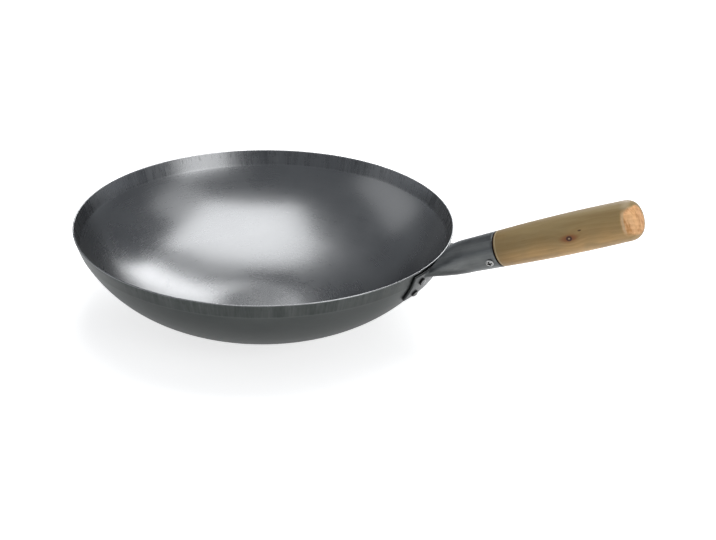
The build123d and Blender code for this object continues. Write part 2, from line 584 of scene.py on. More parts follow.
@dataclass(frozen=True)
class SpunSteelFinish:
    """Bare carbon steel with spun rings, and rolled upright marks on the rim band."""

    effects: SharedEffects
    name: str
    color: Color
    pale_color: Color
    roughness: float
    crease_height: float
    rim_height: float
    ring_tone: float
    dark_color: Color = (0.030, 0.031, 0.030, 1)
    spun_squeeze: float = 0.006
    band_radius: float = 0.173
    upright_squeeze: float = 0.10
    lip_fade: Span = (0.0009, 0.0003)
    band_fade: float = 0.001
    dent_drop: float = 0.0036
    dent_reach: float = 0.0030
    crease_reach: float = 0.0011
    base_tone: float = 0.30
    cloud_tone: float = 0.45
    streak_tone: float = 3.2
    lip_highlight_tone: float = 1.2
    crease_tone: float = 0.35
    scratch_tone: float = 0.22
    band_dark: float = 0.16
    dent_dark: float = 0.32
    speck_dark: float = 0.22
    ring_rough: float = 0.08
    cloud_rough: float = 0.05
    streak_rough: float = 0.40
    lip_rough: float = -0.08
    ring_height: float = 0.0011
    streak_height: float = 0.028
    wave_height: float = 0.20
    dent_height: float = -0.015
    bump_strength: float = 0.5
    bump_distance: float = 0.0006

    def build(self) -> Material:
        """Makes the material.

        Returns:
            The finished material.
        """
        material, make, shader = new_material(self.name)
        place = make.object_place()
        x, y, z = make.split(place)
        flat = make.joined(x, y, 0.0)
        turn = make.times(make.math("ARCTAN2", y, x), self.spun_squeeze)
        spun_place = make.joined(make.vector("LENGTH", flat), z, turn)
        spun, scratches = self.effects.place(make, self.effects.grain, spun_place, Fine=1000.0, Coarse=210.0)
        rings = make.centred(spun)
        clouds, specks = self.effects.place(make, self.effects.mottle, place, Size=11.0, Speck_Size=720.0)
        clouds = make.centred(clouds)
        on_circle = (self.band_radius, self.band_radius, 0.0)
        round_place = make.vector("MULTIPLY", make.vector("NORMALIZE", flat), on_circle)
        low_place = make.joined(0.0, 0.0, make.times(z, self.upright_squeeze))
        upright_place = make.vector("ADD", round_place, low_place)
        upright, _ = self.effects.place(make, self.effects.grain, upright_place, Fine=420.0, Coarse=90.0)
        lip = make.remap(z, *(self.rim_height - below for below in self.lip_fade))
        band = make.remap(z, self.crease_height - self.band_fade, self.crease_height + self.band_fade)
        band = make.math("SUBTRACT", band, lip, clamp=True)
        streaks = make.times(make.centred(upright), band)
        # Dents of the rolling tool, in a row below the lip
        dents = make.noise(make.vector("MULTIPLY", upright_place, (1.0, 1.0, 2.0)), 520.0, 1.0, 0.4)
        dent_row = make.spot(z, self.rim_height - self.dent_drop, self.dent_reach)
        dents = make.times(make.remap(dents, 0.54, 0.70), dent_row)
        crease = make.spot(z, self.crease_height, self.crease_reach)
        # The lip's paler tone is a painted highlight along the rim's edge
        tone = make.plus(
            make.times(clouds, self.cloud_tone), make.times(rings, self.ring_tone),
            make.times(streaks, self.streak_tone), make.times(lip, self.lip_highlight_tone),
            make.times(crease, self.crease_tone), make.times(scratches, self.scratch_tone),
        )
        tone = make.math("ADD", tone, self.base_tone, clamp=True)
        color = make.mix(tone, self.color, self.pale_color)
        speck_share = make.times(specks, make.remap(clouds, -0.1, 0.3), self.speck_dark)
        for share in (make.times(band, self.band_dark), make.times(dents, self.dent_dark), speck_share):
            color = make.mix(share, color, self.dark_color)
        make.link(color, shader.inputs["Base Color"])
        rough = make.plus(
            self.roughness, make.times(rings, self.ring_rough), make.times(clouds, self.cloud_rough),
            make.times(streaks, self.streak_rough), make.times(lip, self.lip_rough),
        )
        make.link(rough, shader.inputs["Roughness"])
        shader.inputs["Metallic"].default_value = 1.0
        waves = make.noise(place, 22.0, 2.0, 0.4)
        height = make.plus(
            make.times(rings, self.ring_height), make.times(streaks, self.streak_height),
            make.times(waves, self.wave_height), make.times(dents, self.dent_height),
        )
        make.link(make.bump(height, self.bump_strength, self.bump_distance), shader.inputs["Normal"])
        return material


@dataclass(frozen=True)
class DrawnSteelFinish:
    """Steel with a grain along one axis, for the socket, the rivets and the screw."""

    effects: SharedEffects
    name: str
    color: Color
    pale_color: Color
    roughness: float
    rise_degrees: float = 0.0
    stretch: float = 0.05
    fine: float = 700.0
    coarse: float = 120.0
    painted_shade_level: float = -1.0
    speck_color: Color = (0.06, 0.055, 0.05, 1)
    painted_shade_color: Color = (0.028, 0.030, 0.030, 1)
    cloud_tone: float = 0.5
    streak_tone: float = 2.2
    speck_dark: float = 0.35
    painted_shade_share: float = 0.55
    painted_shade_fade: float = 0.006
    streak_rough: float = 0.30
    cloud_rough: float = 0.10
    streak_height: float = 0.05
    wave_height: float = 0.10
    bump_strength: float = 0.35
    bump_distance: float = 0.0004

    def build(self) -> Material:
        """Makes the material.

        Returns:
            The finished material.
        """
        material, make, shader = new_material(self.name)
        place = make.object_place()
        along = make.vector("MULTIPLY", make.risen(place, self.rise_degrees), (self.stretch, 1.0, 1.0))
        grain, _ = self.effects.place(make, self.effects.grain, along, Fine=self.fine, Coarse=self.coarse)
        clouds, specks = self.effects.place(make, self.effects.mottle, place, Size=30.0, Speck_Size=500.0)
        streaks = make.centred(grain)
        cloud_tone, streak_tone = make.times(clouds, self.cloud_tone), make.times(streaks, self.streak_tone)
        color = make.mix(make.math("ADD", cloud_tone, streak_tone, clamp=True), self.color, self.pale_color)
        color = make.mix(make.times(specks, self.speck_dark), color, self.speck_color)
        # Painted shade: what lies below the level is darker
        low = make.remap(make.split(place)[2], self.painted_shade_level + self.painted_shade_fade, self.painted_shade_level)
        color = make.mix(make.times(low, self.painted_shade_share), color, self.painted_shade_color)
        make.link(color, shader.inputs["Base Color"])
        cloud_rough = make.times(make.centred(clouds), self.cloud_rough)
        rough = make.plus(self.roughness, make.times(streaks, self.streak_rough), cloud_rough)
        make.link(rough, shader.inputs["Roughness"])
        shader.inputs["Metallic"].default_value = 1.0
        waves = make.noise(place, 38.0, 1.0, 0.4)
        height = make.plus(make.times(streaks, self.streak_height), make.times(waves, self.wave_height))
        make.link(make.bump(height, self.bump_strength, self.bump_distance), shader.inputs["Normal"])
        return material


@dataclass(frozen=True)
class TurnedWoodFinish:
    """Pale turned wood with long grain, one small knot, a fleck and an open end grain."""

    start: Place
    rise_degrees: float
    length: float
    radius: float
    gap: float
    knot_along: float = 0.0735
    knot_turn: float = 3.0
    knot_stretch: float = 0.80
    knot_ring: float = 0.0015
    knot_ring_reach: float = 0.0011
    knot_core: Span = (0.0008, 0.0003)
    halo_stretch: float = 0.42
    halo_fade: Span = (0.0050, 0.0010)
    fleck_along: float = 0.0845
    fleck_turn: float = 19.0
    fleck_stretch: float = 0.40
    fleck_fade: Span = (0.0010, 0.0003)
    pith_side: float = 0.026
    pith_up: float = 0.031
    rings_per_metre: float = 230.0
    ring_bend: float = 0.016
    ring_drift: float = 0.055
    ring_bulge: float = 0.006
    bulge_fade: Span = (0.014, 0.0)
    heart_bend: float = 0.014
    heart_fade: Span = (0.027, 0.060)
    mouth_stain: float = 0.034
    end_side: float = 0.0054
    end_uneven: float = 0.006
    end_fade: Span = (0.0138, 0.0118)
    end_depth: Span = (0.0122, 0.0100)
    highlight_depth: float = 0.0098
    highlight_reach: float = 0.0018
    shoulder_wear: float = 0.0017
    shoulder_reach: float = 0.0008
    gap_shade_fade: Span = (0.0009, 0.0003)
    inner_color: Color = (0.560, 0.335, 0.125, 1)
    outer_color: Color = (0.280, 0.206, 0.092, 1)
    late_color: Color = (0.190, 0.108, 0.030, 1)
    fibre_color: Color = (0.150, 0.084, 0.026, 1)
    end_color: Color = (0.860, 0.500, 0.240, 1)
    end_ring_color: Color = (0.560, 0.250, 0.080, 1)
    pale_color: Color = (0.560, 0.460, 0.290, 1)
    stain_color: Color = (0.230, 0.068, 0.014, 1)
    dark_color: Color = (0.034, 0.008, 0.003, 1)
    roughness: float = 0.44
    fibre_rough: float = 0.25
    end_rough: float = 0.14
    coat: float = 0.09
    coat_roughness: float = 0.24
    specular_level: float = 0.35
    bump_strength: float = 0.35
    bump_distance: float = 0.0003

    def _near(self, make: Nodes, own: NodeSocket, along: float, turn_degrees: float) -> NodeSocket:
        """Offset from a place on the grip's side, in the grip's own frame.

        Args:
            make: The material's helper.
            own: The grip's own coordinates.
            along: Distance from the socket's mouth.
            turn_degrees: Turn upward from the side that faces the right of the handle.

        Returns:
            The offset's socket.
        """
        turn = math.radians(turn_degrees)
        place = (along, -self.radius * math.cos(turn), self.radius * math.sin(turn))
        return make.vector("SUBTRACT", own, place)

    @staticmethod
    def _stretched(make: Nodes, vector: NodeSocket, stretch: float) -> NodeSocket:
        """Squeezes coordinates along the grip, which stretches what is drawn on them."""
        return make.vector("MULTIPLY", vector, (stretch, 1, 1))

    def build(self) -> Material:
        """Makes the material.

        Returns:
            The finished material.
        """
        material, make, shader = new_material("turned_pale_wood")
        own = make.risen(make.vector("SUBTRACT", make.object_place(), self.start), self.rise_degrees)
        distance, side, up = make.split(own)
        knot_near = self._near(make, own, self.knot_along, self.knot_turn)
        fleck_near = self._near(make, own, self.fleck_along, self.fleck_turn)
        knot = make.vector("LENGTH", self._stretched(make, knot_near, self.knot_stretch))
        halo = make.vector("LENGTH", self._stretched(make, knot_near, self.halo_stretch))
        fleck = make.vector("LENGTH", self._stretched(make, fleck_near, self.fleck_stretch))
        # Growth rings round a pith that lies outside the grip, bent along the length
        bend = make.noise(self._stretched(make, own, 0.35), 30.0, 3.0, 0.5)
        from_pith = make.joined(0.0, make.plus(side, self.pith_side), make.plus(up, self.pith_up))
        pith_radius = make.vector("LENGTH", from_pith)
        outward = make.remap(make.plus(pith_radius, make.times(bend, self.heart_bend)), *self.heart_fade)
        ring_radius = make.plus(
            pith_radius, make.times(bend, self.ring_bend), make.times(distance, self.ring_drift),
            make.times(make.remap(knot, *self.bulge_fade), self.ring_bulge),
        )
        ring_share = make.math("FRACT", make.times(ring_radius, self.rings_per_metre))
        rings = make.times(make.remap(ring_share, 0.0, 0.75), make.remap(ring_share, 1.0, 0.86))
        fibres = make.noise(self._stretched(make, own, 0.035), 1500.0, 3.0, 0.6)
        bands = make.noise(self._stretched(make, own, 0.10), 150.0, 4.0, 0.55)
        clouds = make.noise(own, 45.0, 3.0, 0.5)
        fibre_mask = make.remap(fibres, 0.56, 0.76, 0.0, 0.30)
        color = make.mix(outward, self.inner_color, self.outer_color)
        for share, darker in (
            (make.times(rings, 0.17), self.late_color),
            (make.remap(bands, 0.38, 0.78, 0.0, 0.48), self.late_color),
            (make.remap(distance, self.mouth_stain, 0.0, 0.0, 0.42), self.late_color),
            (make.remap(clouds, 0.38, 0.72, 0.0, 0.40), self.outer_color),
            (fibre_mask, self.fibre_color),
        ):
            color = make.mix(share, color, darker)
        # Open end grain, which reaches round the corner on the worn side
        from_middle = make.vector("LENGTH", make.joined(0.0, make.plus(side, self.end_side), up))
        uneven = make.times(make.centred(clouds), self.end_uneven)
        uneven_distance = make.plus(distance, uneven)
        end_start = make.remap(uneven_distance, *(self.length - depth for depth in self.end_depth))
        end = make.times(make.remap(make.plus(from_middle, uneven), *self.end_fade), end_start)
        # Painted highlight: a pale ring along the end grain's edge at the corner
        corner_highlight = make.spot(uneven_distance, self.length - self.highlight_depth, self.highlight_reach)
        blotches = make.noise(make.vector("MULTIPLY", own, (1, 1, 0.30)), 330.0, 3.0, 0.6)
        pores = make.noise(own, 1500.0, 2.0, 0.5)
        pore_mask = make.remap(pores, 0.60, 0.72, 0.0, 0.5)
        end_tone = make.plus(make.remap(blotches, 0.40, 0.66), make.times(rings, 0.35), pore_mask)
        end_tone = make.math("MULTIPLY", end_tone, 0.75, clamp=True)
        end_color = make.mix(end_tone, self.end_color, self.end_ring_color)
        end_color = make.mix(make.times(corner_highlight, end, 0.6), end_color, self.pale_color)
        color = make.mix(make.times(end, 0.92), color, end_color)
        # Worn shoulder next to the socket
        shoulder = make.spot(distance, self.gap + self.shoulder_wear, self.shoulder_reach)
        color = make.mix(make.times(shoulder, 0.50), color, self.pale_color)
        # Painted shade on the shoulder face, in the gap at the socket's mouth
        gap_shade = make.remap(distance, *(self.gap + beyond for beyond in self.gap_shade_fade))
        color = make.mix(gap_shade, color, self.dark_color)
        # Knot: stained halo, dark ring and pale core, with a small fleck beyond it
        stain = make.times(make.remap(halo, *self.halo_fade), make.remap(bands, 0.30, 0.62, 0.45, 0.95))
        color = make.mix(stain, color, self.stain_color)
        ring = make.spot(knot, self.knot_ring, self.knot_ring_reach)
        color = make.mix(make.times(ring, 0.95), color, self.dark_color)
        color = make.mix(make.remap(knot, *self.knot_core, 0.0, 0.85), color, self.pale_color)
        color = make.mix(make.remap(fleck, *self.fleck_fade, 0.0, 0.85), color, self.dark_color)
        make.link(color, shader.inputs["Base Color"])
        fibre_rough = make.times(make.centred(fibres), self.fibre_rough)
        rough = make.plus(self.roughness, fibre_rough, make.times(end, self.end_rough))
        make.link(rough, shader.inputs["Roughness"])
        shader.inputs["Coat Weight"].default_value = self.coat
        shader.inputs["Coat Roughness"].default_value = self.coat_roughness
        shader.inputs["Specular IOR Level"].default_value = self.specular_level
        height = make.plus(
            make.times(bands, 0.5), make.times(fibre_mask, -0.7), make.times(ring, -1.2),
            make.times(end, pores, -0.6),
        )
        make.link(make.bump(height, self.bump_strength, self.bump_distance), shader.inputs["Normal"])
        return material


# Sub-assemblies


class Arc(NamedTuple):
    """One arc of the bowl's section, with its slopes in radians."""

    center: Vector
    radius: float
    first: float
    last: float


@dataclass
class Bowl:
    """The spun sheet: flat base, three arcs and an upright band under the rim."""

    rim_radius: float = 0.178
    base_bend_radius: float = 0.060
    base_bend_slope: float = math.radians(9.2)
    crown_radius: float = 0.250
    crown_slope: float = math.radians(24.2)
    wall_radius: float = 0.127
    wall_slope: float = math.radians(62.8)
    sheet: float = 0.0015
    band_height: float = 0.014
    band_inset: float = 0.005
    inner_bend_radius: float = 0.165
    arc_steps: tuple[int, int, int] = (12, 18, 32)
    base_shares: tuple[float, ...] = (0.0, 0.25, 0.5, 0.75, 0.9)
    crease_blend: float = 0.0022
    lip_round: float = 0.0006
    lip_outer_inset: float = 0.0004
    lip_inner_inset: float = 0.0002
    segments: int = 288

    @cached_property
    def arcs(self) -> list[Arc]:
        """Arcs of the outer face, from the base outward.

        Returns:
            The base bend, the crown and the wall.
        """
        slopes = (0.0, self.base_bend_slope, self.crown_slope, self.wall_slope)
        radii = (self.base_bend_radius, self.crown_radius, self.wall_radius)
        plan = list(zip(radii, slopes, slopes[1:]))
        run = sum(radius * (math.sin(last) - math.sin(first)) for radius, first, last in plan)
        corner = Vector((self.rim_radius - self.band_inset - run, 0.0))
        arcs = []
        for radius, first, last in plan:
            center = corner + radius * Vector((-math.sin(first), math.cos(first)))
            corner = center + radius * Vector((math.sin(last), -math.cos(last)))
            arcs.append(Arc(center, radius, first, last))
        return arcs

    @cached_property
    def crease(self) -> Point:
        """Radius and height of the outer crease."""
        center = self.arcs[-1].center
        return self.rim_radius - self.band_inset, center.y - self.wall_radius * math.cos(self.wall_slope)

    @cached_property
    def depth(self) -> float:
        """Height of the rim."""
        return self.crease[1] + self.band_height

    @cached_property
    def band_tilt(self) -> float:
        """Lean of the band from upright, in radians."""
        return math.atan2(self.band_inset, self.band_height)

    def wall_tilt(self, height: float) -> float:
        """How far the outer wall's normal points below the horizontal.

        Args:
            height: Height on the wall.

        Returns:
            The angle in radians.
        """
        if height >= self.crease[1]:
            return self.band_tilt
        return math.asin((self.arcs[-1].center.y - height) / self.wall_radius)

    def wall_point(self, height: float, offset: float) -> Point:
        """Point of the outer wall, offset square to it.

        Args:
            height: Height on the wall.
            offset: Distance outward.

        Returns:
            Radius and height.
        """
        tilt = self.wall_tilt(height)
        if height >= self.crease[1]:
            radius = self.crease[0] + (height - self.crease[1]) / self.band_height * self.band_inset
        else:
            radius = self.arcs[-1].center.x + self.wall_radius * math.cos(tilt)
        return radius + offset * math.cos(tilt), height - offset * math.sin(tilt)

    def _inner_arcs(self) -> list[Arc]:
        """Arcs as for the outer face, with a wider and softer bend next to the base.

        Returns:
            The arcs, with radii as for an outer face.
        """
        _, crown, wall = self.arcs
        bend_radius = self.inner_bend_radius + self.sheet
        reach = crown.radius - bend_radius
        side = math.sqrt(reach**2 - (crown.center.y - bend_radius) ** 2)
        slope = math.asin(side / reach)
        bend = Arc(Vector((crown.center.x + side, bend_radius)), bend_radius, 0.0, slope)
        return [bend, crown._replace(first=slope), wall]

    def _side(self, offset: float) -> list[Point]:
        """Profile of one face of the sheet from the axis to below the lip.

        Args:
            offset: 0 for the outer face, the sheet's thickness for the inner one.

        Returns:
            Points of radius and height.
        """
        arcs = self._inner_arcs() if offset else self.arcs
        points = [(arcs[0].center.x * share, offset) for share in self.base_shares]
        for (center, radius, first, last), steps in zip(arcs, self.arc_steps):
            if radius == self.wall_radius:
                last -= self.crease_blend / radius
            turns = (math.degrees(slope) - 90 for slope in (first, last))
            points += arc(tuple(center), radius - offset, *turns, steps)
        along_wall = Vector((math.sin(self.wall_slope), -math.cos(self.wall_slope)))
        corner = self.arcs[-1].center + (self.wall_radius - offset) * along_wall
        band_end = Vector((self.rim_radius - offset, self.depth))
        before = Vector(points[-1])
        after = corner + (band_end - corner).normalized() * self.crease_blend
        points += [tuple(softened(before, corner, after, share)) for share in (0.2, 0.4, 0.6, 0.8, 1.0)]
        return points + [tuple(after.lerp(band_end, share)) for share in (0.3, 0.6, 0.85)]

    def profile(self) -> list[Point]:
        """Whole section of the sheet with its rounded lip.

        Returns:
            Points from the outer pole to the inner pole.
        """
        level = self.depth - self.lip_round
        outer_edge = self.rim_radius - self.lip_outer_inset
        inner_edge = self.rim_radius - self.sheet - self.lip_inner_inset
        lip = arc((outer_edge - self.lip_round, level), self.lip_round, 0, 90, 4)
        lip += arc((inner_edge + self.lip_round, level), self.lip_round, 90, 180, 4)
        return self._side(0.0) + lip + self._side(self.sheet)[::-1]

    def build(self, outside: Material, inside: Material) -> Object:
        """Builds and dresses the bowl.

        Args:
            outside: Finish of the outer face, painted darker as shade.
            inside: Finish of the inner face, which looks upward.

        Returns:
            The piece.
        """
        mesh = turned(self.profile(), self.segments, Matrix.Identity(4))
        for face in mesh.faces:
            face.material_index = int(face.normal.z > 0)
        bowl = make_piece("wok_bowl", mesh, outside, "bowl", 60.0)
        bowl.data.materials.append(inside)
        return bowl


@dataclass
class HandleLine:
    """Where the handle leaves the bowl and how it rises."""

    bowl: Bowl
    axis_drop: float = 0.0044
    rise: float = math.radians(24.4)

    @property
    def start(self) -> Vector:
        """Point where the axis meets the rim's radius."""
        return Vector((self.bowl.rim_radius, 0, self.bowl.depth - self.axis_drop))

    @property
    def axis(self) -> Vector:
        """Direction of the handle."""
        return Vector((math.cos(self.rise), 0, math.sin(self.rise)))

    @property
    def up(self) -> Vector:
        """Direction square to the handle, upward."""
        return Vector((-math.sin(self.rise), 0, math.cos(self.rise)))

    def place(self, distance: float) -> Matrix:
        """Frame on the axis, with Z along it, X to the left and Y up.

        Args:
            distance: How far out from the start.

        Returns:
            The matrix of that frame.
        """
        columns = Matrix((Vector((0, 1, 0)), self.up, self.axis)).transposed().to_4x4()
        return Matrix.Translation(self.start + self.axis * distance) @ columns


@dataclass
class HandleSocket:
    """Rolled tube that flattens to a fan and turns down as a flange on the wall."""

    bowl: Bowl
    line: HandleLine
    length: float = 0.064
    mouth_radius: float = 0.0162
    wall: float = 0.0016
    round_length: float = 0.030
    round_end_radius: float = 0.0151
    mouth_lip: float = 0.0003
    bore_taper_length: float = 0.012
    fan_reach: float = 0.009
    fan_half_width: float = 0.028
    fan_half_thickness: float = 0.003
    fan_sink: float = 0.0018
    width_power: float = 1.5
    thickness_power: float = 2.2
    fan_rings: int = 26
    segments: int = 96
    flange_thickness: float = 0.0024
    flange_half_angle: float = math.radians(13.4)
    flange_top_drop: float = 0.0025
    flange_bottom_drop: float = 0.030
    flange_corner: float = 0.003
    seat_gap: float = 0.0002
    blend: float = 0.0032
    blend_sink: float = 0.0001
    blend_rings: int = 7
    edge_round: float = 0.0005
    search_inward: float = 0.0144
    search_below: float = 0.06
    search_above: float = 0.02
    _reaches: dict[float, float] = field(default_factory=dict, init=False, repr=False)

    @property
    def outer_face(self) -> float:
        """Offset of the flange's outer face from the wall."""
        return self.seat_gap + self.flange_thickness

    @property
    def taper(self) -> float:
        """How fast the round part narrows towards the bowl."""
        return (self.mouth_radius - self.round_end_radius) / self.round_length

    def _fan_point(self, turn: float, distance: float) -> Vector:
        """Point of the fan's skin.

        Args:
            turn: Angle round the section, in radians.
            distance: Distance along the axis.

        Returns:
            The point.
        """
        start = self.length - self.round_length
        share = (start - distance) / (start + self.fan_reach)
        sink = eased(0, self.fan_sink, share, self.width_power)
        half_width = eased(self.round_end_radius, self.fan_half_width, share, self.width_power)
        half_thickness = eased(self.round_end_radius, self.fan_half_thickness, share, self.thickness_power)
        side = Vector((0, 1, 0)) * half_width * math.cos(turn)
        lift = self.line.up * (half_thickness * math.sin(turn) - sink)
        return self.line.start + self.line.axis * distance + side + lift

    def _face_below(self, level: float, height: float) -> bool:
        """Whether the flange's outer face at a height on the wall lies below a level."""
        return self.bowl.wall_point(height, self.outer_face)[1] < level

    def _height_at(self, level: float) -> float:
        """Height on the wall at which the flange's outer face reaches a level."""
        low, high = self.bowl.depth - self.search_below, self.bowl.depth + self.search_above
        return narrowed(low, high, partial(self._face_below, level))[0]

    def _past_face(self, turn: float, distance: float) -> bool:
        """Whether a point of the fan's skin lies inside the flange's outer face.

        Args:
            turn: Angle round the section, in radians.
            distance: Distance along the axis.

        Returns:
            True inside.
        """
        point = self._fan_point(turn, distance)
        radius = self.bowl.wall_point(self._height_at(point.z), self.outer_face)[0]
        return math.hypot(point.x, point.y) < radius

    def _reach(self, turn: float) -> float:
        """Distance along the axis at which the fan's skin meets the flange's outer face.

        Args:
            turn: Angle round the section, in radians.

        Returns:
            The distance, which is kept once it is found.
        """
        if turn not in self._reaches:
            low, high = -self.search_inward, self.length - self.round_length
            self._reaches[turn] = narrowed(low, high, partial(self._past_face, turn))[1]
        return self._reaches[turn]

    def _flange_point(self, turn: float, height: float, offset: float) -> Vector:
        """Point on the flange.

        Args:
            turn: Angle round the bowl from the handle, in radians.
            height: Height on the wall.
            offset: Offset from the wall.

        Returns:
            The point.
        """
        radius, level = self.bowl.wall_point(height, offset)
        return Vector((radius * math.cos(turn), radius * math.sin(turn), level))

    def _ring(self, mesh: BMesh, shape: Shape) -> list[BMEdge]:
        """Adds one closed ring.

        Args:
            mesh: Mesh that takes it.
            shape: Gives the point for an angle round the section.

        Returns:
            The ring's edges.
        """
        made = bmesh.ops.create_circle(mesh, cap_ends=False, radius=1.0, segments=self.segments)
        for vert in made["verts"]:
            vert.co = shape(math.atan2(vert.co.y, vert.co.x))
        return list({edge for vert in made["verts"] for edge in vert.link_edges})

    def _round_point(self, distance: float, radius: float, turn: float) -> Vector:
        """Point of a round section."""
        return self.line.place(distance) @ Vector((radius * math.cos(turn), radius * math.sin(turn), 0))

    def _skin_point(self, share: float, turn: float) -> Vector:
        """Point of the fan's skin, from the round part to the soft bend at the flange.

        Args:
            share: How far along, from 0 to 1.
            turn: Angle round the section, in radians.

        Returns:
            The point.
        """
        start, end = self.length - self.round_length, self._reach(turn) + self.blend
        return self._fan_point(turn, start + (end - start) * share)

    def _blend_point(self, share: float, turn: float) -> Vector:
        """Point of the soft bend from the fan's skin to the flange's face.

        Args:
            share: How far along, from 0 to 1.
            turn: Angle round the section, in radians.

        Returns:
            The point.
        """
        reach = self._reach(turn)
        corner = self._fan_point(turn, reach)
        start = self._fan_point(turn, reach + self.blend)
        bearing = math.atan2(corner.y, corner.x) + math.cos(turn) * self.blend / self.bowl.rim_radius
        height = self._height_at(corner.z) + math.sin(turn) * self.blend
        top = self.bowl.depth - self.flange_top_drop - self.edge_round
        end = self._flange_point(bearing, min(height, top), self.outer_face - self.blend_sink)
        return softened(start, corner, end, share)

    def _tube(self) -> BMesh:
        """Outer skin, mouth lip and bore of the socket, closed inside the flange.

        Returns:
            The mesh.
        """
        mesh = bmesh.new()
        mouth, bore, lip = self.mouth_radius, self.mouth_radius - self.wall, self.mouth_lip
        sections = [
            (self.length - self.round_length, self.round_end_radius - self.wall),
            (self.length - self.bore_taper_length, bore - self.taper * self.bore_taper_length),
            (self.length - lip, bore),
            (self.length, bore + lip),
            (self.length, mouth - lip),
            (self.length - lip * CORNER_INSET, mouth - lip * CORNER_INSET),
            (self.length - lip, mouth),
        ]
        for share in (0.1, 0.3, 0.5, 0.7, 0.9, 1.0):
            setback = share * self.round_length
            sections.append((self.length - setback, mouth - self.taper * setback))
        shapes: list[Shape] = [partial(self._round_point, *section) for section in sections]
        shapes += [partial(self._skin_point, i / self.fan_rings) for i in range(1, self.fan_rings + 1)]
        shapes += [partial(self._blend_point, i / self.blend_rings) for i in range(1, self.blend_rings + 1)]
        rings = [self._ring(mesh, shape) for shape in shapes]
        for first, second in zip(rings, rings[1:]):
            bmesh.ops.bridge_loops(mesh, edges=first + second)
        for ring in (rings[0], rings[-1]):
            bmesh.ops.contextual_create(mesh, geom=ring)
        bmesh.ops.recalc_face_normals(mesh, faces=mesh.faces)
        return mesh

    @staticmethod
    def _is_outline(edge: BMEdge) -> bool:
        """Whether an edge is part of the outline of one of the plate's two faces."""
        level = abs(edge.verts[0].co.z - edge.verts[1].co.z) < LEVEL_TOLERANCE
        return level and len(edge.link_faces) == 2 and edge.calc_face_angle(0) > 1.0

    def _flange(self) -> BMesh:
        """Plate that follows the wall, with rounded lower corners and softened edges.

        Returns:
            The mesh.
        """
        half = self.flange_half_angle * self.bowl.rim_radius
        top, bottom = self.bowl.depth - self.flange_top_drop, self.bowl.depth - self.flange_bottom_drop
        mesh = bmesh.new()
        places = ((-half, bottom, 0), (half, bottom, 0), (half, top, 0), (-half, top, 0))
        corners = [mesh.verts.new(place) for place in places]
        mesh.faces.new(corners)
        bmesh.ops.bevel(
            mesh, geom=corners[:2], affect="VERTICES", offset=self.flange_corner,
            offset_type="OFFSET", segments=6, profile=0.5, material=-1,
        )
        plate = bmesh.ops.extrude_face_region(mesh, geom=mesh.faces[:])
        raised = [item for item in plate["geom"] if isinstance(item, BMVert)]
        bmesh.ops.translate(mesh, vec=(0, 0, self.flange_thickness), verts=raised)
        bmesh.ops.recalc_face_normals(mesh, faces=mesh.faces)
        rims = [edge for edge in mesh.edges if self._is_outline(edge)]
        bmesh.ops.bevel(
            mesh, geom=rims, affect="EDGES", offset=self.edge_round, offset_type="OFFSET",
            segments=3, profile=0.5, material=-1, clamp_overlap=True,
        )
        for axis, low, high, count in ((0, -half, half, 32), (1, bottom, top, 12)):
            normal = Vector((1 - axis, axis, 0))
            for step in range(1, count):
                cut = normal * (low + (high - low) * step / count)
                everything = mesh.verts[:] + mesh.edges[:] + mesh.faces[:]
                bmesh.ops.bisect_plane(mesh, geom=everything, plane_co=cut, plane_no=normal)
        for vert in mesh.verts:
            turn = vert.co.x / self.bowl.rim_radius
            vert.co = self._flange_point(turn, vert.co.y, self.seat_gap + vert.co.z)
        bmesh.ops.recalc_face_normals(mesh, faces=mesh.faces)
        return mesh

    def build(self, material: Material) -> list[Object]:
        """Builds and dresses the socket.

        Args:
            material: Its finish.

        Returns:
            The tube with its fan, and the flange.
        """
        parts = (("handle_socket_tube", self._tube()), ("handle_socket_flange", self._flange()))
        return [make_piece(name, mesh, material, "handle_socket") for name, mesh in parts]


